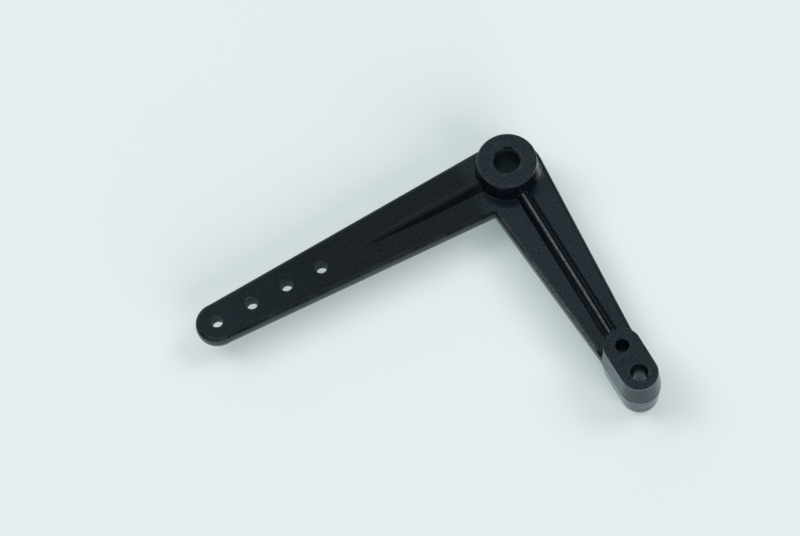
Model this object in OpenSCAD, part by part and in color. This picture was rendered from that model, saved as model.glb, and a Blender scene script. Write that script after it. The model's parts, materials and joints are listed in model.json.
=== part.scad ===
// One-piece moulded bellcrank: two arms at a right angle round a pivot hub.
// The origin is on the pivot axis, half way up the hub, in the mould's parting plane.
// +X runs along the long arm, +Y along the short arm and +Z up the pivot axis.
// Both halves of the mould are alike, so every form is mirrored in the parting plane.

/* [Plate] */
// Thickness of the flat arms
plate_t = 2.8; // [2:0.1:4]
// Rounding of the plate's upper and lower edges
plate_edge = 0.75; // [0.1:0.05:0.9]
// Slope of the plate's side walls away from the parting plane, in degrees
plate_draft = 3.8; // [1:0.1:6]
// Rounding of the inside corner between the two arms
corner_fillet = 0.3; // [0.2:0.1:3]

/* [Long arm] */
// Distance from the pivot to the outermost link hole
long_arm = 60; // [52:0.5:90]
// Width of the long arm across the pivot
long_root_w = 13.1; // [12.9:0.1:15]
// Width of the long arm across its outermost hole
long_tip_w = 7.7; // [5.5:0.1:8.5]
// Diameter of the round eye at the tip
eye_d = 7.8; // [5.8:0.1:9]

/* [Link holes] */
// Number of link holes along the long arm
link_holes = 4; // [1:1:5]
// Spacing of the link holes
link_pitch = 7.1; // [4:0.1:9]
// Diameter of the link pin
link_pin_d = 2.0; // [1.5:0.1:3]
// Room between a link pin and its hole, on each side
link_clearance = 0.1; // [0.05:0.05:0.3]

/* [Short arm] */
// Distance from the pivot to the outer hole of the end block
short_arm = 48; // [40:0.5:70]
// Width of the short arm across the pivot
short_root_w = 13.3; // [12.9:0.1:15]
// Width of the short arm where it runs into the end block
short_end_w = 7.2; // [5:0.1:7.4]

/* [End block] */
// Height of the end block, both sides of the plate together
block_h = 10.3; // [7:0.1:14]
// Width of the end block's flat faces
block_w = 6.8; // [6.4:0.1:9]
// Rounding of the end block's upper and lower edges
block_edge = 0.12; // [0.08:0.02:0.6]
// Slope of the end block's walls away from the parting plane, in degrees
block_draft = 4.6; // [1:0.1:6]
// Distance between the block's two holes
block_pitch = 6; // [4:0.1:9]
// Diameter of the screw in the outer hole
outer_screw_d = 3.0; // [2:0.1:4]
// Diameter of the screw in the inner hole
inner_screw_d = 2.2; // [1.5:0.1:3]
// Room between a screw and its hole, on each side
screw_clearance = 0.1; // [0.05:0.05:0.3]

/* [Hub] */
// Diameter of the hub where its wall and end face would meet
hub_d = 11.0; // [9:0.1:11.2]
// Slope of the hub's wall away from the parting plane, in degrees
hub_draft = 4.6; // [0.5:0.1:5]
// Height of the hub from end face to end face
hub_h = 11.4; // [8:0.1:16]
// Rounding of the hub's end rims
hub_rim = 0.3; // [0.1:0.05:0.8]
// Rounding where the hub runs into the plate
hub_fillet = 0.3; // [0.2:0.05:0.7]
// Outside diameter of the pivot tube that the hub turns on
pivot_d = 4.5; // [3:0.1:6]
// Running room between the pivot tube and the bore, on each side
pivot_clearance = 0.08; // [0.02:0.01:0.1]
// Depth of the lead-in at each mouth of the bore
bore_lead = 0.3; // [0.1:0.05:0.6]

/* [Ribs] */
// Width of the half-round ribs where they leave the hub, twice their height
rib_w = 2.1; // [1.2:0.1:2.4]
// Distance from the innermost link hole to the place where the long arm's rib has sunk into the plate
rib_stop = 7.5; // [4:0.1:12]

/* [Hidden] */
// How far a rounded foot is let into the plate, so that it meets the face at an angle
foot_sink = 0.04;
// How far the ribs run on inside the hub and the block
rib_root = 1.5;
// How far a cutting tool stands out past the face that it cuts
overcut = 1;
// Steps in a quarter round of a profile
round_steps = 5;
// Facets of the arm and block outlines, and of the exact round surfaces
outline_facets = 64;
round_facets = 96;

plate_top = plate_t / 2;
block_top = block_h / 2;
hub_top = hub_h / 2;
hub_r = hub_d / 2;
rib_r = rib_w / 2;
inner_hole_y = short_arm - block_pitch;
innermost_link_x = long_arm - (link_holes - 1) * link_pitch;
rib_end_x = innermost_link_x - rib_stop;
bore_r = pivot_d / 2 + pivot_clearance;
link_hole_r = link_pin_d / 2 + link_clearance;
outer_hole_r = outer_screw_d / 2 + screw_clearance;
inner_hole_r = inner_screw_d / 2 + screw_clearance;
block_r = block_w / 2;

// Points of a quarter round about a centre, from one angle to another
function arc(centre, r, from, to) =
    [for (i = [0:round_steps])
        let (a = from + (to - from) * i / round_steps)
            centre + r * [cos(a), sin(a)]];

// A half profile turned upside down, in the order that continues it
function mirrored(points) =
    [for (i = [len(points) - 1:-1:0]) [points[i][0], -points[i][1]]];

// Upper half of a disc's profile: r is its radius where wall and end face would meet
function disc_half(r, top, draft, edge) =
    concat(
        [[r + top * tan(draft), 0]],
        arc([r + edge * tan(draft) - edge / cos(draft), top - edge], edge, draft, 90),
        [[0, top]]);

// Disc that is widest in the parting plane, with rounded edges
module drafted_disc(r, top, draft, edge, facets) {
    half = disc_half(r, top, draft, edge);
    rotate_extrude($fn = facets)
        polygon(concat(mirrored(half), half));
}

module plate_disc(r, facets = outline_facets) {
    drafted_disc(r, plate_top, plate_draft, plate_edge, facets);
}

module block_disc() {
    drafted_disc(block_r, block_top, block_draft, block_edge, outline_facets);
}

module long_plate() {
    hull() {
        plate_disc(long_root_w / 2);
        translate([long_arm, 0, 0])
            plate_disc(long_tip_w / 2);
    }
    translate([long_arm, 0, 0])
        plate_disc(eye_d / 2, round_facets);
}

module short_plate() {
    hull() {
        plate_disc(short_root_w / 2);
        translate([0, inner_hole_y, 0])
            plate_disc(short_end_w / 2);
    }
}

module end_block() {
    hull() {
        translate([0, inner_hole_y, 0])
            block_disc();
        translate([0, short_arm, 0])
            block_disc();
    }
}

// Web in the inside corner, cut to a round that follows the slope of the two walls
module corner_web() {
    long_slope = asin((long_root_w - long_tip_w) / 2 / long_arm);
    short_slope = asin((short_root_w - short_end_w) / 2 / inner_hole_y);
    n_long = [sin(long_slope), cos(long_slope)];
    n_short = [cos(short_slope), sin(short_slope)];
    // Point that lies given distances outside the two arms' edge lines
    det = n_long[0] * n_short[1] - n_long[1] * n_short[0];
    function corner_at(d) =
        let (a = long_root_w / 2 + d, b = short_root_w / 2 + d)
            [a * n_short[1] - b * n_long[1], b * n_long[0] - a * n_short[0]] / det;
    centre = corner_at(corner_fillet);
    height = plate_t - 2 * plate_edge;
    draft_step = (height / 2) * tan(plate_draft);
    difference() {
        linear_extrude(height = height, center = true)
            polygon([
                corner_at(-corner_fillet),
                centre - (corner_fillet + foot_sink) * n_long,
                centre - (corner_fillet + foot_sink) * n_short]);
        for (side = [0, 1])
            mirror([0, 0, side])
                translate([centre[0], centre[1], 0])
                    cylinder(
                        r1 = corner_fillet - draft_step,
                        r2 = corner_fillet + draft_step * overcut * 2 / height,
                        h = height / 2 + overcut,
                        $fn = round_facets);
    }
}

// Hub with a sloping wall and rounded rims, running into the plate in a hollow round
module hub() {
    foot_z = plate_top - foot_sink + hub_fillet;
    foot_r = hub_r + (hub_top - foot_z) * tan(hub_draft) + hub_fillet / cos(hub_draft);
    rim_r = hub_r + hub_rim * tan(hub_draft) - hub_rim / cos(hub_draft);
    half = concat(
        [[foot_r, 0]],
        arc([foot_r, foot_z], hub_fillet, 270, 180 + hub_draft),
        arc([rim_r, hub_top - hub_rim], hub_rim, hub_draft, 90),
        [[0, hub_top]]);
    rotate_extrude($fn = round_facets)
        polygon(concat(mirrored(half), half));
}

// Half-round rib of even width from the hub to the end block
module short_rib() {
    start = hub_r - rib_root;
    end = inner_hole_y - block_r + rib_root;
    translate([0, start, plate_top])
        rotate([-90, 0, 0])
            cylinder(r = rib_r, h = end - start, $fn = round_facets);
}

// Half-round rib of the long arm: a round bar that slopes down until it has sunk into the plate
module long_rib() {
    run = rib_end_x - hub_r;
    sink = atan(rib_r / run);
    intersection() {
        translate([hub_r, 0, plate_top])
            rotate([0, 90 + sink, 0])
                translate([0, 0, -rib_root])
                    cylinder(r = rib_r, h = run / cos(sink) + rib_root + rib_w, $fn = round_facets);
        // Only the half above the parting plane, so that it never comes through the other face
        translate([0, -rib_w, 0])
            cube([rib_end_x + rib_w, 2 * rib_w, hub_top]);
    }
}

// Straight drill along the pivot direction
module drill(r, top) {
    cylinder(r = r, h = 2 * (top + overcut), center = true, $fn = round_facets);
}

module pivot_bore() {
    drill(bore_r, hub_top);
    for (side = [0, 1])
        mirror([0, 0, side])
            translate([0, 0, hub_top - bore_lead])
                cylinder(
                    r1 = bore_r,
                    r2 = bore_r + bore_lead + overcut,
                    h = bore_lead + overcut,
                    $fn = round_facets);
}

module bellcrank_lever() {
    color([0.07, 0.075, 0.085])
        difference() {
            union() {
                long_plate();
                short_plate();
                corner_web();
                end_block();
                hub();
                for (side = [0, 1])
                    mirror([0, 0, side]) {
                        short_rib();
                        long_rib();
                    }
            }
            pivot_bore();
            for (i = [0:link_holes - 1])
                translate([long_arm - i * link_pitch, 0, 0])
                    drill(link_hole_r, plate_top);
            translate([0, short_arm, 0])
                drill(outer_hole_r, block_top);
            translate([0, inner_hole_y, 0])
                drill(inner_hole_r, block_top);
        }
}

bellcrank_lever();
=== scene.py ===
import json
import math
from collections import namedtuple

import bpy
import numpy as np
from bpy.props import FloatProperty, FloatVectorProperty, PointerProperty
from mathutils import Matrix, Vector


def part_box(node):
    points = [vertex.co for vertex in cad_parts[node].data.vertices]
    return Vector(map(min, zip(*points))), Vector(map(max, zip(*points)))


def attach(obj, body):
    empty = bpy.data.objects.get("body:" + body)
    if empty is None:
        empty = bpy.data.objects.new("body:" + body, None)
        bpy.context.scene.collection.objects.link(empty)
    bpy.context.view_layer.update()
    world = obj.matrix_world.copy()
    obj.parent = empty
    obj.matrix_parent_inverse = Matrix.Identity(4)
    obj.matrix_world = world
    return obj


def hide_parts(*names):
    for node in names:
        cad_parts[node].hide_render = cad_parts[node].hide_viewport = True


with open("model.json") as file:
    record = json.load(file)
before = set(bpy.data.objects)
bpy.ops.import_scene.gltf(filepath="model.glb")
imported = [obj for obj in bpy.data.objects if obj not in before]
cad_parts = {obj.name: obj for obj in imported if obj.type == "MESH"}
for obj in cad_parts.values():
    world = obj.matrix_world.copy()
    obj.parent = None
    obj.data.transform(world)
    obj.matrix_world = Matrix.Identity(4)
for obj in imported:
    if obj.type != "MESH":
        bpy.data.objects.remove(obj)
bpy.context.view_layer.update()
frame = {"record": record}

bl_info = {
    "name": "Moulded Bellcrank",
    "version": (1, 0, 0),
    "blender": (4, 5, 0),
    "location": "3D View > Sidebar > Bellcrank",
    "description": "Builds a one-piece nylon bellcrank and the stage that it lies on",
    "category": "Add Mesh",
}

MM = 0.001
NODE = "bellcrank_lever"
BODY = "root"
BORES = {m["name"]: m for m in frame["record"]["mounts"] if m["kind"] == "bore"}
BLOCK_HOLE_Y = BORES["block_hole_outer"]["pos_m"][1]
NODE_LOW, NODE_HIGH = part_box(NODE)

IMAGE_WIDTH_PX = 800
SENSOR_WIDTH_MM = 36.0

# Triangles that the lever's mesh is thinned to
TRIANGLES = 185000

# A mark is strongest at its middle and dies away on both sides over its half width
Mark = namedtuple("Mark", "middle half strength")
# A lamp's turn from the camera, its height and its width, in degrees
Lamp = namedtuple("Lamp", "name turn height spread")

# Moulding marks, in millimetres and radians. The seam waxes and wanes in waves along x and y
SEAM_STEADY = 0.7
SEAM_WAVES = ((0.9, 0.4), (0.35, -1.1))
# Where the gate mark lies round the pivot axis, and half the turn that it covers
GATE_AT = math.radians(-125)
GATE_HALF = math.radians(14)
# How near the gate mark a point belongs to it, and how near it no edge is rubbed
GATE_SKIN = 0.02
GATE_CLEAR = 0.15

# Painted highlights, in millimetres. Across the short rib's crest, which sets in over a short run from
# the hub
CREST_HIGHLIGHT = Mark(middle=0.1, half=0.18, strength=0.55)
CREST_RUN = 0.5
# Least height of the crest above the plate, and the slack above the rib's top
CREST_ABOVE_PLATE = 0.5
CREST_SLACK = 0.1
# Across the rounded edge of the short arm's side: where along the arm it sets in, and its least height
EDGE_HIGHLIGHT = Mark(middle=-0.26, half=0.13, strength=0.45)
EDGE_RUN = (14, 20)
EDGE_LOW = 0.6
# Round and up the hub's flank, with slack inside the rim, and how far outside the rim it ends
FLANK_AT = math.radians(150)
FLANK_ROUND = Mark(middle=0.0, half=0.25, strength=1.0)
FLANK_UP = Mark(middle=2.8, half=1.6, strength=1.0)
FLANK_SLACK = 0.1
FLANK_END = (0.9, 0.6)
# How far from the block's inner hole the short arm's painted highlights end
BLOCK_CLEAR = 3

# Rubbed edges, lightened also as painted edge highlights: the bend from which an edge is lightened and
# the bend at which it is fully lightened, per mm
RUBBED_AND_LIT_BEND = (0.48, 0.816)
# Where the short arm's side begins, how far settled points scatter above its face, and its extra rub and
# painted edge highlight
SIDE_X = 1
SIDE_Y = 8
SIDE_SLACK = 0.01
SIDE_RUB_AND_LIGHT = 2.0
# The end block is rubbed and given painted edge highlight only along the outer rim: the rim's run, its
# depth, and the block's margin
RIM_RUN = 2
RIM_DEPTH = 0.3
BLOCK_MARGIN = 1

# A level face: how upright it stands, and how near it lies to the height of one
LEVEL_FACE = (0.85, 0.97)
FACE_DEPTH = 0.06

# Roughness of the holes' walls against the plain surface: 1 rough, below 0 smoother
LINK_HOLE_ROUGHNESS = 0.8
HOLE_ROUGHNESS = {"pivot_bore": 1.0, "block_hole_inner": 1.0, "block_hole_outer": -0.3}
GATE_ROUGHNESS = 2.0

# How points settle: reach of a difference, least steepness and longest move, in millimetres
SLOPE_REACH = 0.01
LEAST_STEEP = 0.25
LONGEST_MOVE = 0.1
# Reaches over which normals and bends are measured, in millimetres
NORMAL_REACH = 0.02
BEND_REACH = 0.15
# Least slope that is divided by, and least distance from the pivot axis at which a turn is taken
TINY = 1e-6
AXIS_CLEAR = 0.1
# Steps of the grid that stay free round the lever
GRID_MARGIN = 4

# Nylon patterns: the noise at which each begins to show, and at which it shows in full
PATCHES = (0.35, 0.7)
STREAKS = (0.3, 1.4)
SPECKS = (0.33, 0.67)
LAYERS = (0.5, 0.75)
# How streaks are drawn out along the long arm, and lines round the block
STREAK_STRETCH = (0.12, 1.0, 1.0)
LINE_STRETCH = (0.12, 0.12, 1.0)
# Where the long arm's own colour sets in, and where its tip gives a share of it back
LONG_ARM = (6 * MM, 9 * MM)
LONG_ARM_TIP = (40 * MM, 58 * MM)
TIP_SHARE = 0.5
# How much paler a streak is, how much an edge is rubbed and lit between patches, and a painted highlight
# between specks
STREAK_PALE = 1.5
RUB_AND_LIGHT_LEAST = 0.35
HIGHLIGHT_LEAST = 0.15
# Lines on the block: its outer end, the half below the seam, its rims, and how much they show
LINED_END = (BLOCK_HOLE_Y - 3 * MM, BLOCK_HOLE_Y + 1 * MM)
LINED_BELOW = (0.2 * MM, -0.4 * MM)
LINED_RIM = (-0.4 * MM, -0.2 * MM)
LINED_SHOWS = 0.22
# Glossy skin of the level faces: strength of its specks, what is taken off all over and on the long arm
SKIN_SPECKS = 1.2
SKIN_LESS = -0.1
SKIN_LESS_FAR = -0.5
# How much streaks, grain and holes change the roughness
STREAK_ROUGHNESS = 0.16
GRAIN_ROUGHNESS = 0.06
HOLE_ROUGHER = 0.4
# The smooth hole is rough near its mouths
MOUTH = (1.0 * MM, 3.2 * MM)
MOUTH_ROUGHER = 0.5
GRAIN_DEPTH = 0.05 * MM
NYLON_IOR = 1.4
SKIN_IOR = 1.5
SKIN_ROUGHNESS = 0.15

# Floor: width of its faint clouds, how dark they are, and its close shadow round the lever
CLOUD_SIZE = 1 / 12
CLOUD_SHADE = 0.995
CONTACT_REACH = 10 * MM
CONTACT_SHADE = 0.3
CONTACT_SAMPLES = 8

# Broad soft lamps, far away
LAMPS = (
    Lamp("left_light", turn=-115, height=50, spread=30),
    Lamp("right_light", turn=105, height=50, spread=30),
    Lamp("front_light", turn=25, height=20, spread=50),
)
LAMP_TINT = (1.06, 0.98, 1.0)
# The bright panel overhead: how far a direction points aside or ahead where it ends and where it is full
PANEL_LEFT = (-0.8, -0.6)
PANEL_RIGHT = (0.28, 0.12)
PANEL_FRONT = (0.45, 0.0)
# How many times nearer and farther than its target the camera still sees
CLIP_RANGE = 100


def length(name, description, default_mm):
    """A size property, given in millimetres and kept in metres."""
    return FloatProperty(
        name=name,
        description=description,
        default=default_mm * MM,
        min=0.0,
        precision=5,
        unit="LENGTH",
    )


def angle(name, description, degrees):
    """An angle property, given in degrees and kept in radians."""
    return FloatProperty(
        name=name,
        description=description,
        default=math.radians(degrees),
        subtype="ANGLE",
    )


def share(name, description, default, high=1.0):
    """A plain number from 0 to high."""
    return FloatProperty(
        name=name,
        description=description,
        default=default,
        min=0.0,
        max=high,
        subtype="FACTOR",
    )


def colour(name, description, default):
    """A linear colour property."""
    return FloatVectorProperty(
        name=name,
        description=description,
        default=default,
        min=0.0,
        soft_max=1.0,
        size=3,
        subtype="COLOR",
    )


class LeverSizes(bpy.types.PropertyGroup):
    """Sizes of the moulded lever."""

    plate_t: length("Plate thickness", "Thickness of the flat arms", 2.8)
    plate_edge: length("Plate edge", "Rounding of the plate's upper and lower edges", 0.75)
    plate_draft: angle("Plate draft", "Slope of the plate's walls from the parting plane", 3.8)
    corner_fillet: length("Corner fillet", "Rounding of the inside corner between the arms", 0.3)
    long_root_w: length("Long arm root", "Width of the long arm across the pivot", 13.1)
    long_tip_w: length("Long arm tip", "Width of the long arm across its outermost hole", 7.7)
    eye_d: length("Eye diameter", "Diameter of the round eye at the long arm's tip", 7.8)
    short_root_w: length("Short arm root", "Width of the short arm across the pivot", 13.3)
    short_end_w: length("Short arm end", "Width of the short arm at the end block", 7.2)
    block_h: length("Block height", "Height of the end block, both sides together", 10.3)
    block_w: length("Block width", "Width of the end block's flat faces", 6.8)
    block_edge: length("Block edge", "Rounding of the end block's edges", 0.12)
    block_draft: angle("Block draft", "Slope of the end block's walls", 4.6)
    block_foot: length("Block foot", "Rounding where the end block meets the plate", 0.12)
    hub_d: length("Hub diameter", "Diameter of the pivot hub at its end faces", 11.0)
    hub_draft: angle("Hub draft", "Slope of the hub's wall", 4.6)
    hub_rim: length("Hub rim", "Rounding of the hub's end rims", 0.3)
    hub_fillet: length("Hub fillet", "Rounding where the hub runs into the plate", 0.3)
    bore_lead: length("Bore lead-in", "Depth of the lead-in at each mouth of the pivot bore", 0.3)
    rib_w: length("Rib width", "Width of the half-round ribs at the hub", 2.1)
    rib_end: length("Rib end", "Distance from the pivot to where the long rib has sunk away", 31.2)
    rib_foot: length("Rib foot", "Rounding where a rib meets the plate", 0.5)
    hole_lip: length("Hole lip", "Rounding of the rims of the drilled holes", 0.06)
    gate_r: length("Gate mark", "Radius of the short groove at the mouth of the pivot bore", 0.15)
    flash_h: length("Flash height", "Height of the moulding seam round the parting plane", 0.05)
    flash_w: length("Flash width", "Half width of the moulding seam", 0.14)
    mesh_step: length("Mesh step", "Spacing of the grid that the surface is drawn from", 0.13)


class NylonFinish(bpy.types.PropertyGroup):
    """Colours and texture of the moulded nylon."""

    body: colour("Body", "Colour of the nylon in the long arm", (0.0018, 0.0032, 0.0042))
    body_near: colour("Hub", "Colour of the nylon in the hub and the short arm", (0.0026, 0.0052, 0.0088))
    # Lighter colour on the level faces of the hub and the short arm
    pale_faces: colour("Pale_level_faces", "Colour of the hub's and short arm's flat faces", (0.0055, 0.0120, 0.0185))
    # Colour of rubbed edges, which also serves as painted edge highlights
    wear_and_edge_highlight: colour("Worn_and_lit", "Colour of rubbed edges", (0.035, 0.043, 0.047))
    # Colour of the painted highlights on the short rib's crest, the short arm's edge and the hub's flank,
    # and of the block's pale lines
    highlight_and_lines: colour("Highlights_and_lines", "Colour of scuffs and of the block's fine lines", (0.45, 0.50, 0.52))
    gloss_tint: colour("Gloss tint", "Tint of the surface reflection", (0.78, 0.97, 1.0))
    roughness: share("Roughness", "Roughness of the plain surface", 0.22)
    grain: share("Grain", "Strength of the fine moulded grain", 0.25)
    grain_size: length("Grain size", "Size of the moulded grain", 0.35)
    patch_size: length("Patch size", "Size of the patches in which edges are rubbed", 2.9167)
    streak_size: length("Streak size", "Width of the flow streaks", 0.9)
    layer_size: length("Layer size", "Spacing of the fine lines round the block's end", 0.6)


class StageLook(bpy.types.PropertyGroup):
    """Floor, lights and camera."""

    floor: colour("Floor", "Colour of the floor", (0.79, 0.79, 0.80))
    floor_glow: colour("Floor glow", "Floor brightness that no shadow takes away", (0.215, 0.30, 0.285))
    floor_mirrored: colour("Mirrored floor", "Floor brightness that reflections show", (0.32, 0.49, 0.52))
    floor_size: length("Floor size", "Width of the floor", 6000.0)
    zenith: colour("Zenith", "Colour of the broad light overhead", (0.415, 0.465, 0.49))
    horizon: colour("Horizon", "Colour of the dim light from the sides", (0.05, 0.055, 0.06))
    left_light: share("Left light", "Light from back left, as a share of full light", 0.155, 4.0)
    right_light: share("Right light", "Light from back right, as a share of full light", 0.155, 4.0)
    front_light: share("Front light", "Low light from the front, as a share of full light", 0.215, 4.0)
    azimuth: angle("Azimuth", "Direction of the camera round the pivot axis", 160.552)
    elevation: angle("Elevation", "Height of the camera above the plate", 64.881)
    roll: angle("Roll", "Turn of the camera about its own line of sight", -9.740)
    distance: length("Distance", "Distance from the camera to its target", 581.86)
    target_x: length("Target along the long arm", "Where the line of sight meets the plate", 26.122)
    target_y: length("Target along the short arm", "Where the line of sight meets the plate", 6.685)
    focal_px: FloatProperty(
        name="Focal length",
        description="Focal length of the camera in pixels of the picture",
        default=3209.3,
        subtype="PIXEL",
    )


def fade(value, start, full):
    """0 up to start, 1 from full on, and an even slope between them."""
    return np.clip((value - start) / (full - start), 0, 1)


def bell(value, mark):
    """A mark's strength at a value."""
    return mark.strength * np.exp(-(((value - mark.middle) / mark.half) ** 2))


def from_axis(x, y, bore):
    """Distance from a bore's axis in millimetres."""
    return np.hypot(x - bore["pos_m"][0] / MM, y - bore["pos_m"][1] / MM)


def turn_from(x, y, at):
    """Angle round the pivot axis away from the direction at."""
    along = x * math.cos(at) + y * math.sin(at)
    return np.arccos(np.clip(along / np.maximum(np.hypot(x, y), AXIS_CLEAR), -1, 1))


def round_union(a, b, r):
    """Joins two forms with a hollow round of radius r where they cross."""
    corner = np.hypot(np.maximum(r - a, 0), np.maximum(r - b, 0))
    return np.maximum(r, np.minimum(a, b)) - corner


def round_cut(a, b, r):
    """Cuts form b out of form a and rounds the rim with radius r."""
    corner = np.hypot(np.maximum(r + a, 0), np.maximum(r - b, 0))
    return np.minimum(-r, np.maximum(a, -b)) + corner


def taper_edge(along, across, reach, root_r, tip_r):
    """Flat distance to a tapered arm with round ends, from the pivot out to reach."""
    slope = (root_r - tip_r) / reach
    rise = math.sqrt(1 - slope * slope)
    across = np.abs(across)
    place = rise * along - slope * across
    flank = rise * across + slope * along - root_r
    root = np.hypot(along, across) - root_r
    tip = np.hypot(along - reach, across) - tip_r
    return np.where(place < 0, root, np.where(place > rise * reach, tip, flank))


def drafted(edge, height, top, draft, rounding):
    """Raises a flat outline to a top face, with sloping walls and a rounded edge."""
    wall = (edge - (top - height) * math.tan(draft)) * math.cos(draft) + rounding
    cap = height - top + rounding
    outside = np.hypot(np.maximum(wall, 0), np.maximum(cap, 0))
    return np.minimum(np.maximum(wall, cap), 0) + outside - rounding


class LeverForm:
    """The lever as a signed distance in millimetres, negative inside."""

    def __init__(self, sizes):
        self.plate_top = sizes.plate_t / 2 / MM
        self.plate_edge = sizes.plate_edge / MM
        self.plate_draft = sizes.plate_draft
        self.corner_fillet = sizes.corner_fillet / MM
        self.long_root_r = sizes.long_root_w / 2 / MM
        self.long_tip_r = sizes.long_tip_w / 2 / MM
        self.eye_r = sizes.eye_d / 2 / MM
        self.short_root_r = sizes.short_root_w / 2 / MM
        self.short_end_r = sizes.short_end_w / 2 / MM
        self.block_top = sizes.block_h / 2 / MM
        self.block_r = sizes.block_w / 2 / MM
        self.block_edge = sizes.block_edge / MM
        self.block_draft = sizes.block_draft
        self.block_foot = sizes.block_foot / MM
        self.hub_r = sizes.hub_d / 2 / MM
        self.hub_draft = sizes.hub_draft
        self.hub_top = NODE_HIGH.z / MM
        self.hub_rim = sizes.hub_rim / MM
        self.hub_fillet = sizes.hub_fillet / MM
        self.bore_lead = sizes.bore_lead / MM
        self.rib_r = sizes.rib_w / 2 / MM
        self.rib_end = sizes.rib_end / MM
        self.rib_foot = sizes.rib_foot / MM
        self.hole_lip = sizes.hole_lip / MM
        self.gate_r = sizes.gate_r / MM
        self.flash_h = sizes.flash_h / MM
        self.flash_w = sizes.flash_w / MM
        self.long_arm = BORES["link_hole_tip"]["pos_m"][0] / MM
        self.short_arm = BLOCK_HOLE_Y / MM
        self.inner_hole_y = BORES["block_hole_inner"]["pos_m"][1] / MM

    def outline(self, x, y):
        """Flat distance to the plate's upper outline."""
        long_arm = taper_edge(x, y, self.long_arm, self.long_root_r, self.long_tip_r)
        eye = np.hypot(x - self.long_arm, y) - self.eye_r
        long_arm = np.minimum(long_arm, eye)
        short_arm = taper_edge(y, x, self.inner_hole_y, self.short_root_r, self.short_end_r)
        inside_corner = (x > self.hub_r / 2) & (y > self.hub_r / 2)
        filleted = round_union(long_arm, short_arm, self.corner_fillet)
        return np.where(inside_corner, filleted, np.minimum(long_arm, short_arm))

    def block_outline(self, x, y):
        """Flat distance to the end block's upper outline, round about both its holes."""
        middle = (self.inner_hole_y + self.short_arm) / 2
        half = (self.short_arm - self.inner_hole_y) / 2
        past = np.maximum(np.abs(y - middle) - half, 0)
        return np.hypot(x, past) - self.block_r

    def seam(self, x, y, height):
        """Height of the moulding seam, which waxes and wanes along the outline."""
        (a, b), (c, d) = SEAM_WAVES
        wander = SEAM_STEADY + (1 - SEAM_STEADY) * np.sin(a * x + b * y) * np.cos(c * x + d * y)
        return self.flash_h * wander * np.exp(-((height / self.flash_w) ** 2))

    def ribs(self, x, y, height):
        """Half-round ribs on the plate: an even one to the block and one that sinks away."""
        lift = height - self.plate_top
        short_rib = np.hypot(x, lift) - self.rib_r
        short_ends = np.maximum(-y, y - self.inner_hole_y)
        short_rib = np.maximum(short_rib, short_ends)
        sink = math.atan2(self.rib_r, self.rib_end - self.hub_r)
        above_axis = lift * math.cos(sink) + (x - self.hub_r) * math.sin(sink)
        long_rib = np.hypot(y, above_axis) - self.rib_r
        long_ends = np.maximum(-x, x - self.rib_end - 2 * self.rib_r)
        long_rib = np.maximum(long_rib, long_ends)
        return short_rib, long_rib

    def gate_mark(self, x, y, height):
        """Short curved groove along the mouth of the pivot bore."""
        mouth_r = BORES["pivot_bore"]["dims"]["r_mm"] + self.bore_lead
        past = np.maximum(turn_from(x, y, GATE_AT) - GATE_HALF, 0) * mouth_r
        across = np.hypot(x, y) - mouth_r
        return np.hypot(np.hypot(across, past), height - self.hub_top) - self.gate_r

    def distance(self, x, y, z):
        """Distance from the lever's surface, below 0 inside it."""
        height = np.abs(z)
        plate = drafted(
            self.outline(x, y), height, self.plate_top, self.plate_draft, self.plate_edge
        )
        hub = drafted(
            np.hypot(x, y) - self.hub_r, height, self.hub_top, self.hub_draft, self.hub_rim
        )
        block = drafted(
            self.block_outline(x, y), height, self.block_top, self.block_draft, self.block_edge
        )
        body = round_union(plate, hub, self.hub_fillet)
        body = round_union(body, block, self.block_foot)
        short_rib, long_rib = self.ribs(x, y, height)
        body = round_union(body, short_rib, self.rib_foot)
        # The long rib's foot round shrinks as the rib sinks
        body = round_union(body, long_rib, self.rib_foot * fade(x, self.rib_end, self.hub_r))
        body = body - self.seam(x, y, height)
        for name, bore in BORES.items():
            hole = from_axis(x, y, bore) - bore["dims"]["r_mm"]
            if name == "pivot_bore":
                # The lead-in slopes half way between the wall and the end face
                lead = hole - (height - self.hub_top + self.bore_lead)
                hole = np.minimum(hole, lead * math.sqrt(0.5))
            body = round_cut(body, hole, self.hole_lip)
        return round_cut(body, self.gate_mark(x, y, height), self.hole_lip / 2)

    def pairs(self, p, reach):
        """Distances ahead of and behind points p, along each axis in turn."""
        for axis in range(3):
            step = np.zeros(3)
            step[axis] = reach
            yield self.distance(*(p + step).T), self.distance(*(p - step).T)

    def gradient(self, p, reach):
        """Slope of the distance at points p, by differences over reach."""
        return np.stack([(a - b) / (2 * reach) for a, b in self.pairs(p, reach)], axis=1)

    def curvature(self, p, reach):
        """Mean bend of the surface at points p: above 0 on outer edges, below in hollows."""
        total = -6 * self.distance(*p.T)
        for ahead, behind in self.pairs(p, reach):
            total += ahead + behind
        return total / (reach * reach) / 2

    def settle(self, p, rounds=3):
        """Moves points p on to the surface along its slope."""
        for _ in range(rounds):
            slope = self.gradient(p, SLOPE_REACH)
            steep = np.maximum((slope * slope).sum(1), LEAST_STEEP)
            step = np.clip(self.distance(*p.T) / steep, -LONGEST_MOVE, LONGEST_MOVE)
            p = p - slope * step[:, None]
        return p

    def normals(self, p):
        """Directions in which the surface faces at points p."""
        slope = self.gradient(p, NORMAL_REACH)
        return slope / np.maximum(np.linalg.norm(slope, axis=1), TINY)[:, None]

    def in_gate(self, p):
        """Which points p lie in the gate mark."""
        return self.gate_mark(p[:, 0], p[:, 1], np.abs(p[:, 2])) < GATE_SKIN

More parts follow.
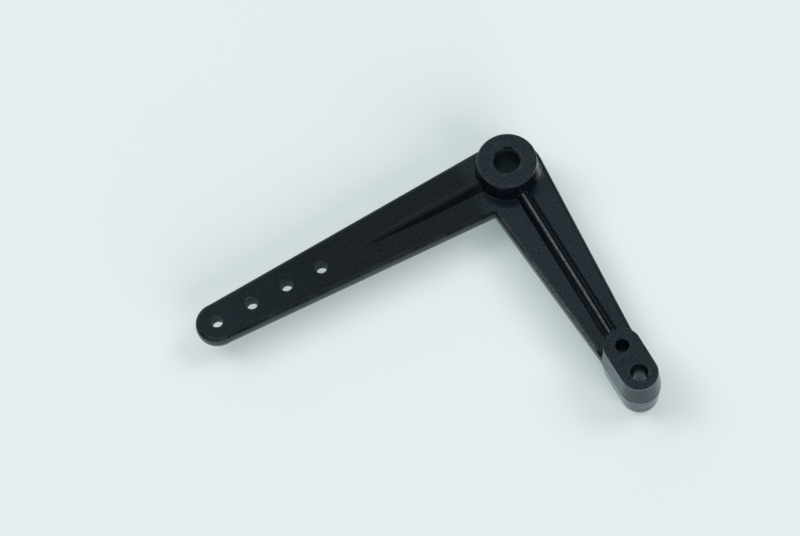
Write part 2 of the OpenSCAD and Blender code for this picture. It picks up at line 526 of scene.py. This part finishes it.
    def painted_highlights(self, p):
        """How much painted highlight points p get: on the short rib's crest, the short arm's rounded edge
        and the hub's flank.
        """
        x, y, z = p.T
        height = np.abs(z)
        on_arm = y < self.inner_hole_y - BLOCK_CLEAR
        low = self.plate_top + CREST_ABOVE_PLATE
        high = self.plate_top + self.rib_r + CREST_SLACK
        on_rib = on_arm & (np.abs(x) < self.rib_r) & (height > low) & (height < high)
        # Painted highlight along the short rib's crest
        crest = bell(x, CREST_HIGHLIGHT) * fade(y, self.hub_r, self.hub_r + CREST_RUN) * on_rib
        # Painted highlight along the rounded top edge of the short arm's side
        on_side = on_arm & (x > SIDE_X) & (height > EDGE_LOW)
        edge = bell(self.outline(x, y), EDGE_HIGHLIGHT) * fade(y, *EDGE_RUN) * on_side
        # Painted highlight on the hub's flank
        past_rim = np.hypot(x, y) - self.hub_r
        on_wall = fade(past_rim, *FLANK_END) * (past_rim > -FLANK_SLACK)
        flank = bell(turn_from(x, y, FLANK_AT), FLANK_ROUND) * bell(height, FLANK_UP) * on_wall
        return np.max([crest, edge, flank], axis=0)

    def drilled(self, p):
        """Roughness of the holes' walls and of the gate mark, and 0 on the plain surface."""
        rough = np.zeros(len(p))
        for name, bore in BORES.items():
            wall = from_axis(p[:, 0], p[:, 1], bore) < bore["dims"]["r_mm"] + self.hole_lip / 2
            rough[wall] = HOLE_ROUGHNESS.get(name, LINK_HOLE_ROUGHNESS)
        rough[self.in_gate(p)] = GATE_ROUGHNESS
        return rough

    def flat(self, p, normals):
        """How much points p belong to the level faces: 1 on the plate, the hub's ends and the block."""
        height = np.abs(p[:, 2])
        tops = (self.plate_top, self.block_top, self.hub_top)
        depth = np.min([np.abs(height - top) for top in tops], axis=0)
        level = fade(np.abs(normals[:, 2]), *LEVEL_FACE)
        return level * (depth < FACE_DEPTH) * ~self.in_gate(p)

    def wear_and_edge_light(self, p):
        """How much points p are rubbed and lit as painted edge highlights: outer edges, most of all along
        the short arm's side.
        """
        x, y, z = p.T
        height = np.abs(z)
        bend = fade(self.curvature(p, BEND_REACH), *RUBBED_AND_LIT_BEND)
        side = (x > SIDE_X) & (y > SIDE_Y) & (height < self.plate_top + SIDE_SLACK)
        rim = fade(y, self.short_arm - RIM_RUN, self.short_arm) * (height > self.block_top - RIM_DEPTH)
        block = self.block_outline(x, y) < BLOCK_MARGIN
        rubbed_and_lit = np.where(block, rim, np.where(side, SIDE_RUB_AND_LIGHT, 1.0))
        rubbed_and_lit = rubbed_and_lit * (self.gate_mark(x, y, height) > GATE_CLEAR)
        return np.clip(bend * rubbed_and_lit, 0, 1)


def sample_grid(form, step):
    """The form's distance on a grid that is half a step off the parting plane."""
    margin = GRID_MARGIN * step
    low = np.array(NODE_LOW) / MM - margin
    high = np.array(NODE_HIGH) / MM + margin
    x = np.arange(low[0], high[0], step, dtype=np.float32)[:, None, None]
    y = np.arange(low[1], high[1], step, dtype=np.float32)[None, :, None]
    z = np.arange(step / 2, high[2], step, dtype=np.float32)[None, None, :]
    upper = form.distance(x, y, z)
    field = np.concatenate([upper[:, :, ::-1], upper], axis=2)
    corner = np.array([low[0], low[1], -float(z[0, 0, -1])])
    return field, corner


def net_points(field, at, offsets):
    """Where the surface lies in each crossed cell, in cells: the middle of its edges' crossings."""
    total = np.zeros((len(at), 3))
    crossings = np.zeros(len(at))
    for axis in range(3):
        unit = np.eye(3, dtype=int)[axis]
        for offset in offsets:
            if offset[axis]:
                continue
            start = at + offset
            end = start + unit
            a = field[tuple(start.T)]
            b = field[tuple(end.T)]
            crossed = (a < 0) != (b < 0)
            along = np.where(crossed, a / np.where(crossed, a - b, 1), 0)
            place = np.array(offset) + unit * along[:, None]
            total += place * crossed[:, None]
            crossings += crossed
    return at + total / crossings[:, None]


def net_faces(inside, number):
    """A four-sided face round each grid edge that passes through the surface."""
    faces = []
    for axis in range(3):
        u = np.eye(3, dtype=int)[(axis + 1) % 3]
        v = np.eye(3, dtype=int)[(axis + 2) % 3]
        lower = [slice(None)] * 3
        upper = [slice(None)] * 3
        lower[axis] = slice(None, -1)
        upper[axis] = slice(1, None)
        edge = np.argwhere(inside[tuple(lower)] != inside[tuple(upper)])
        ring = [edge - u - v, edge - v, edge, edge - u]
        quad = np.stack([number[tuple(c.T)] for c in ring], axis=1)
        leaving = inside[tuple(edge.T)]
        quad[~leaving] = quad[~leaving][:, ::-1]
        faces.append(quad)
    return np.concatenate(faces)


def surface_net(field, corner, step):
    """Points and four-sided faces of the surface where the field passes through zero."""
    inside = field < 0
    cells = tuple(n - 1 for n in field.shape)
    offsets = [(i, j, k) for i in (0, 1) for j in (0, 1) for k in (0, 1)]
    count = np.zeros(cells, np.int8)
    for i, j, k in offsets:
        count += inside[i:i + cells[0], j:j + cells[1], k:k + cells[2]]
    mixed = (count > 0) & (count < len(offsets))
    at = np.argwhere(mixed)
    number = np.full(cells, -1, np.int32)
    number[mixed] = np.arange(len(at))
    return corner + step * net_points(field, at, offsets), net_faces(inside, number)


def mesh_from_quads(name, points, quads):
    """A Blender mesh from points in metres and four-sided faces."""
    mesh = bpy.data.meshes.new(name)
    mesh.vertices.add(len(points))
    mesh.vertices.foreach_set("co", points.astype(np.float32).ravel())
    mesh.loops.add(quads.size)
    mesh.loops.foreach_set("vertex_index", quads.astype(np.int32).ravel())
    mesh.polygons.add(len(quads))
    mesh.polygons.foreach_set("loop_start", np.arange(0, quads.size, 4, dtype=np.int32))
    mesh.update(calc_edges=True)
    return mesh


def thinned(obj, triangles):
    """A copy of the object's mesh with about that many triangles, dense only where it bends."""
    thin = obj.modifiers.new("thin", "DECIMATE")
    thin.ratio = min(1.0, triangles / (2 * len(obj.data.polygons)))
    seen = obj.evaluated_get(bpy.context.evaluated_depsgraph_get())
    mesh = bpy.data.meshes.new_from_object(seen)
    obj.modifiers.clear()
    return mesh


def mesh_points(mesh):
    """A mesh's points in millimetres."""
    points = np.empty(len(mesh.vertices) * 3, np.float32)
    mesh.vertices.foreach_get("co", points)
    return points.reshape(-1, 3).astype(float) / MM


def store(mesh, name, values):
    """Keeps one number for each point of a mesh, for its material to read."""
    attribute = mesh.attributes.new(name, "FLOAT", "POINT")
    attribute.data.foreach_set("value", values.astype(np.float32))


def opaque(tint):
    """A colour with full alpha, as nodes take it."""
    return (*tint, 1.0)


def scaled(tint, factor):
    """A colour made lighter or darker."""
    return tuple(factor * part for part in tint)


def fill(tree, made, inputs):
    """Sets a node's inputs by name or number: a socket is linked, any other value is set."""
    for key, value in inputs.items():
        if isinstance(value, bpy.types.NodeSocket):
            tree.links.new(value, made.inputs[key])
        else:
            made.inputs[key].default_value = value
    return made


def node(tree, kind, inputs):
    """Adds a node and sets its inputs."""
    return fill(tree, tree.nodes.new(kind), inputs)


def calculate(tree, operation, a, b=0.0, c=0.0, clamp=False):
    """One step of arithmetic on values and sockets."""
    made = node(tree, "ShaderNodeMath", {0: a, 1: b, 2: c})
    made.operation = operation
    made.use_clamp = clamp
    return made.outputs[0]


def times(tree, a, b):
    """The product of two values or sockets."""
    return calculate(tree, "MULTIPLY", a, b)


def plus(tree, a, b):
    """The sum of two values or sockets."""
    return calculate(tree, "ADD", a, b)


def rest(tree, mask):
    """1 where a mask is 0, and 0 where it is 1."""
    return calculate(tree, "SUBTRACT", 1.0, mask)


def mix_colour(tree, mask, a, b):
    """Colour a where the mask is 0 and b where it is 1."""
    made = tree.nodes.new("ShaderNodeMix")
    made.data_type = "RGBA"
    fill(tree, made, {0: mask, 6: a, 7: b})
    return made.outputs[2]


def ramp(tree, value, low, high):
    """Takes a value from low..high to 0..1, held at both ends."""
    made = node(tree, "ShaderNodeMapRange", {"Value": value, "From Min": low, "From Max": high})
    return made.outputs[0]


def dot(tree, facing, axis):
    """How far a direction points along an axis."""
    made = node(tree, "ShaderNodeVectorMath", {0: facing, 1: axis})
    made.operation = "DOT_PRODUCT"
    return made.outputs["Value"]


def noise(tree, place, size, detail):
    """Soft noise from 0 to 1, with spots about as wide as size."""
    made = node(tree, "ShaderNodeTexNoise", {"Vector": place, "Scale": 1 / size, "Detail": detail})
    return made.outputs["Fac"]


def stretched(tree, place, scale):
    """Coordinates whose pattern is drawn out along each axis with a scale below 1."""
    return node(tree, "ShaderNodeMapping", {"Vector": place, "Scale": scale}).outputs[0]


def stored(tree, name):
    """A number that the mesh keeps for each point."""
    made = tree.nodes.new("ShaderNodeAttribute")
    made.attribute_name = name
    return made.outputs["Fac"]


def bare_material(name):
    """A material with no nodes yet, and its node tree."""
    material = bpy.data.materials.new(name)
    material.use_nodes = True
    material.node_tree.nodes.clear()
    return material, material.node_tree


def show(tree, shader):
    """Makes a shader the surface of its material."""
    node(tree, "ShaderNodeOutputMaterial", {"Surface": shader.outputs[0]})


class NylonLook:
    """Colour, gloss and grain of the nylon, each as a socket of the material's nodes."""

    def __init__(self, tree, finish, block_top):
        self.tree = tree
        self.finish = finish
        self.block_top = block_top
        self.place = tree.nodes.new("ShaderNodeTexCoord").outputs["Object"]
        axes = node(tree, "ShaderNodeSeparateXYZ", {"Vector": self.place}).outputs
        self.x = axes["X"]
        self.y = axes["Y"]
        self.z = axes["Z"]
        self.height = calculate(tree, "ABSOLUTE", self.z)
        self.fine = noise(tree, self.place, finish.grain_size, detail=3.0)
        self.specks = ramp(tree, self.fine, *SPECKS)
        drawn_out = stretched(tree, self.place, STREAK_STRETCH)
        self.streaks = noise(tree, drawn_out, finish.streak_size, detail=4.0)
        self.flat = stored(tree, "face")
        self.far = self.long_arm()

    def long_arm(self):
        """1 along the long arm, 0 in the hub and the short arm, and between them at the tip."""
        tip = ramp(self.tree, self.x, *LONG_ARM_TIP)
        kept = calculate(self.tree, "MULTIPLY_ADD", tip, -TIP_SHARE, 1.0)
        return times(self.tree, ramp(self.tree, self.x, *LONG_ARM), kept)

    def rubbed_and_lit(self):
        """Rubbed edges that also carry painted edge highlights, stronger in patches."""
        coarse = noise(self.tree, self.place, self.finish.patch_size, detail=2.0)
        most = plus(self.tree, ramp(self.tree, coarse, *PATCHES), RUB_AND_LIGHT_LEAST)
        return calculate(self.tree, "MULTIPLY", stored(self.tree, "edge"), most, clamp=True)

    def painted_highlights(self):
        """Painted highlights, broken up by specks."""
        broken = calculate(self.tree, "MULTIPLY_ADD", self.specks, 1 - HIGHLIGHT_LEAST, HIGHLIGHT_LEAST)
        return times(self.tree, stored(self.tree, "painted_highlight"), broken)

    def block_lines(self):
        """Pale fine lines round the lower half of the block's outer end, and a pale band along its rims.
        """
        tree = self.tree
        drawn_out = stretched(tree, self.place, LINE_STRETCH)
        layers = noise(tree, drawn_out, self.finish.layer_size, detail=2.0)
        lines = times(tree, ramp(tree, layers, *LAYERS), ramp(tree, self.z, *LINED_BELOW))
        low, high = (self.block_top + depth for depth in LINED_RIM)
        rim = times(tree, ramp(tree, self.height, low, high), rest(tree, self.flat))
        lined = times(tree, calculate(tree, "MAXIMUM", lines, rim), ramp(tree, self.y, *LINED_END))
        lined = times(tree, lined, LINED_SHOWS)
        return times(tree, lined, rest(tree, stored(tree, "hole")))

    def colour(self):
        """Dark nylon with streaks and lighter level faces near the hub, then rubbed edges with painted
        edge highlights, painted highlights and pale lines over it.
        """
        tree = self.tree
        finish = self.finish
        base = mix_colour(tree, self.far, opaque(finish.body_near), opaque(finish.body))
        pale = opaque(scaled(finish.body_near, STREAK_PALE))
        base = mix_colour(tree, ramp(tree, self.streaks, *STREAKS), base, pale)
        # Level faces of the hub and short arm are made lighter
        pale_faced_mask = times(tree, self.flat, rest(tree, self.far))
        base = mix_colour(tree, pale_faced_mask, base, opaque(finish.pale_faces))
        # Rubbed edges, lightened also as painted edge highlights
        base = mix_colour(tree, self.rubbed_and_lit(), base, opaque(finish.wear_and_edge_highlight))
        # Painted highlights on the rib's crest, the short arm's edge and the hub's flank
        base = mix_colour(tree, self.painted_highlights(), base, opaque(finish.highlight_and_lines))
        # Pale lines and a pale rim band on the block
        return mix_colour(tree, self.block_lines(), base, opaque(finish.highlight_and_lines))

    def skin(self):
        """Speckled glossy skin of the level faces, thinner on the long arm."""
        thinner = calculate(self.tree, "MULTIPLY_ADD", self.far, SKIN_LESS_FAR, SKIN_LESS)
        specks = calculate(self.tree, "MULTIPLY_ADD", self.specks, SKIN_SPECKS, thinner, clamp=True)
        return times(self.tree, specks, self.flat)

    def roughness(self):
        """Satin that varies with streaks and grain, and rougher holes."""
        tree = self.tree
        plain = self.finish.roughness - STREAK_ROUGHNESS / 2
        rough = calculate(tree, "MULTIPLY_ADD", self.streaks, STREAK_ROUGHNESS, plain)
        rough = plus(tree, rough, times(tree, self.fine, GRAIN_ROUGHNESS))
        rough = plus(tree, rough, times(tree, stored(tree, "drilled"), HOLE_ROUGHER))
        mouth = times(tree, stored(tree, "smooth"), ramp(tree, self.height, *MOUTH))
        return plus(tree, rough, times(tree, mouth, MOUTH_ROUGHER))

    def grain(self):
        """Fine moulded grain."""
        depths = {"Strength": self.finish.grain, "Distance": GRAIN_DEPTH, "Height": self.fine}
        return node(self.tree, "ShaderNodeBump", depths).outputs[0]


def nylon_material(finish, block_top):
    """Black glass-filled nylon: satin, with fine grain, flow streaks, rubbed edges that also carry
    painted edge highlights, and painted highlights.
    """
    material, tree = bare_material("black_nylon")
    look = NylonLook(tree, finish, block_top)
    inputs = {
        "Base Color": look.colour(),
        "Roughness": look.roughness(),
        "Coat Weight": look.skin(),
        "Normal": look.grain(),
        "Specular Tint": opaque(finish.gloss_tint),
        "IOR": NYLON_IOR,
        "Coat IOR": SKIN_IOR,
        "Coat Roughness": SKIN_ROUGHNESS,
    }
    show(tree, node(tree, "ShaderNodeBsdfPrincipled", inputs))
    return material


def floor_material(look):
    """Plain pale floor with faint clouds, which keeps the lever's shadow."""
    material, tree = bare_material("pale_floor")
    place = tree.nodes.new("ShaderNodeTexCoord").outputs["Object"]
    clouds = noise(tree, place, CLOUD_SIZE, detail=2.0)
    tint = mix_colour(tree, clouds, opaque(look.floor), opaque(scaled(look.floor, CLOUD_SHADE)))
    matt = node(tree, "ShaderNodeBsdfDiffuse", {"Color": tint})
    path = tree.nodes.new("ShaderNodeLightPath").outputs
    contact = node(tree, "ShaderNodeAmbientOcclusion", {"Distance": CONTACT_REACH})
    contact.samples = CONTACT_SAMPLES
    clear = calculate(tree, "MULTIPLY_ADD", contact.outputs["AO"], CONTACT_SHADE, 1 - CONTACT_SHADE)
    direct = times(tree, path["Is Camera Ray"], clear)
    glow = mix_colour(tree, direct, opaque((0.0, 0.0, 0.0)), opaque(look.floor_glow))
    glow = mix_colour(tree, path["Is Glossy Ray"], glow, opaque(look.floor_mirrored))
    lit = node(tree, "ShaderNodeEmission", {"Color": glow})
    show(tree, node(tree, "ShaderNodeAddShader", {0: matt.outputs[0], 1: lit.outputs[0]}))
    return material


def direction(azimuth, elevation):
    """Unit vector towards a place seen from the origin: azimuth 0 is towards -Y, 90 towards +X."""
    flat = math.cos(elevation)
    return Vector((math.sin(azimuth) * flat, -math.cos(azimuth) * flat, math.sin(elevation)))


class BELLCRANK_OT_lever(bpy.types.Operator):
    """Build the moulded lever in place of the plain one"""

    bl_idname = "bellcrank.lever"
    bl_label = "Moulded lever"

    def execute(self, context):
        sizes = context.scene.bellcrank_sizes
        form = LeverForm(sizes)
        step = sizes.mesh_step / MM
        obj = self.draw_surface(context, form, step)
        self.mark_surface(obj.data, form)
        material = nylon_material(context.scene.bellcrank_finish, sizes.block_h / 2)
        obj.data.materials.clear()
        obj.data.materials.append(material)
        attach(obj, BODY)
        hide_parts(NODE)
        return {"FINISHED"}

    def draw_surface(self, context, form, step):
        """Draws the form's surface as an object, thinned and settled."""
        points, quads = surface_net(*sample_grid(form, step), step)
        if not len(quads):
            raise RuntimeError("The lever's form has no surface to draw")
        points = form.settle(points)
        obj = bpy.data.objects.new("moulded_lever", mesh_from_quads("moulded_lever", points * MM, quads))
        context.scene.collection.objects.link(obj)
        obj.data = thinned(obj, TRIANGLES)
        obj.data.name = "moulded_lever"
        points = form.settle(mesh_points(obj.data))
        obj.data.vertices.foreach_set("co", (points * MM).astype(np.float32).ravel())
        return obj

    def mark_surface(self, mesh, form):
        """Keeps wear with painted edge highlights, painted highlights, holes and faces on the mesh, and
        shades it as smooth as the form.
        """
        points = mesh_points(mesh)
        drilled = form.drilled(points)
        normals = form.normals(points)
        # Rubbed edges, lightened also as painted edge highlights
        store(mesh, "edge", form.wear_and_edge_light(points))
        # Painted highlights on the rib's crest, the short arm's edge and the hub's flank
        store(mesh, "painted_highlight", form.painted_highlights(points))
        store(mesh, "drilled", drilled)
        store(mesh, "smooth", drilled < 0)
        store(mesh, "hole", drilled != 0)
        store(mesh, "face", form.flat(points, normals))
        mesh.polygons.foreach_set("use_smooth", np.ones(len(mesh.polygons), bool))
        mesh.normals_split_custom_set_from_vertices(normals.tolist())
        mesh.update()


class BELLCRANK_OT_stage(bpy.types.Operator):
    """Build the floor that the lever rests on, the lights and the camera"""

    bl_idname = "bellcrank.stage"
    bl_label = "Stage"

    def execute(self, context):
        look = context.scene.bellcrank_stage
        self.add_floor(context, look)
        self.add_dome(context, look)
        for lamp in LAMPS:
            self.add_lamp(context, look, lamp)
        self.add_camera(context, look)
        context.scene.view_settings.view_transform = "Standard"
        return {"FINISHED"}

    def add_floor(self, context, look):
        """A wide level floor under the hub."""
        half = look.floor_size / 2
        mesh = bpy.data.meshes.new("floor")
        corners = [(-half, -half, 0), (half, -half, 0), (half, half, 0), (-half, half, 0)]
        mesh.from_pydata(corners, [], [(0, 1, 2, 3)])
        mesh.materials.append(floor_material(look))
        floor = bpy.data.objects.new("floor", mesh)
        floor.location.z = NODE_LOW.z
        context.scene.collection.objects.link(floor)

    def add_dome(self, context, look):
        """A long bright panel overhead, narrow from side to side, in dim surroundings."""
        world = bpy.data.worlds.new("studio")
        world.use_nodes = True
        tree = world.node_tree
        facing = tree.nodes.new("ShaderNodeTexCoord").outputs["Generated"]
        aside = dot(tree, facing, direction(look.azimuth + math.pi / 2, 0.0))
        ahead = dot(tree, facing, direction(look.azimuth, 0.0))
        panel = times(tree, ramp(tree, aside, *PANEL_LEFT), ramp(tree, aside, *PANEL_RIGHT))
        panel = times(tree, panel, ramp(tree, ahead, *PANEL_FRONT))
        dome = mix_colour(tree, panel, opaque(look.horizon), opaque(look.zenith))
        tree.links.new(dome, tree.nodes["Background"].inputs["Color"])
        context.scene.world = world

    def add_lamp(self, context, look, lamp):
        """A soft light from far away, which leaves no glint on the nylon."""
        height = math.radians(lamp.height)
        light = bpy.data.lights.new(lamp.name, "SUN")
        light.energy = getattr(look, lamp.name) * math.pi / math.sin(height)
        light.angle = math.radians(lamp.spread)
        light.color = LAMP_TINT
        obj = bpy.data.objects.new(lamp.name, light)
        obj.rotation_mode = "QUATERNION"
        towards = direction(look.azimuth + math.radians(lamp.turn), height)
        obj.rotation_quaternion = towards.to_track_quat("Z", "Y")
        obj.visible_glossy = False
        context.scene.collection.objects.link(obj)

    def add_camera(self, context, look):
        """The camera, at the picture's own angle."""
        lens = bpy.data.cameras.new("camera")
        lens.sensor_width = SENSOR_WIDTH_MM
        lens.lens = look.focal_px * SENSOR_WIDTH_MM / IMAGE_WIDTH_PX
        lens.clip_start = look.distance / CLIP_RANGE
        lens.clip_end = look.distance * CLIP_RANGE
        camera = bpy.data.objects.new("camera", lens)
        back = direction(look.azimuth, look.elevation)
        level = (-back).to_track_quat("-Z", "Y")
        camera.rotation_mode = "QUATERNION"
        camera.rotation_quaternion = level @ Matrix.Rotation(look.roll, 3, "Z").to_quaternion()
        camera.location = Vector((look.target_x, look.target_y, 0)) + back * look.distance
        context.scene.collection.objects.link(camera)
        context.scene.camera = camera


class BELLCRANK_PT_panel(bpy.types.Panel):
    """Sizes, finish and stage of the bellcrank"""

    bl_idname = "BELLCRANK_PT_panel"
    bl_label = "Bellcrank"
    bl_space_type = "VIEW_3D"
    bl_region_type = "UI"
    bl_category = "Bellcrank"

    def draw(self, context):
        scene = context.scene
        groups = (
            (scene.bellcrank_sizes, BELLCRANK_OT_lever),
            (scene.bellcrank_finish, None),
            (scene.bellcrank_stage, BELLCRANK_OT_stage),
        )
        for group, operator in groups:
            box = self.layout.box()
            for name in group.__annotations__:
                box.prop(group, name)
            if operator:
                box.operator(operator.bl_idname)


CLASSES = (
    LeverSizes,
    NylonFinish,
    StageLook,
    BELLCRANK_OT_lever,
    BELLCRANK_OT_stage,
    BELLCRANK_PT_panel,
)


def register():
    for cls in CLASSES:
        bpy.utils.register_class(cls)
    bpy.types.Scene.bellcrank_sizes = PointerProperty(type=LeverSizes)
    bpy.types.Scene.bellcrank_finish = PointerProperty(type=NylonFinish)
    bpy.types.Scene.bellcrank_stage = PointerProperty(type=StageLook)


def unregister():
    del bpy.types.Scene.bellcrank_stage
    del bpy.types.Scene.bellcrank_finish
    del bpy.types.Scene.bellcrank_sizes
    for cls in reversed(CLASSES):
        bpy.utils.unregister_class(cls)


def main():
    register()
    bpy.ops.bellcrank.lever()
    bpy.ops.bellcrank.stage()


if __name__ == "__main__":
    main()
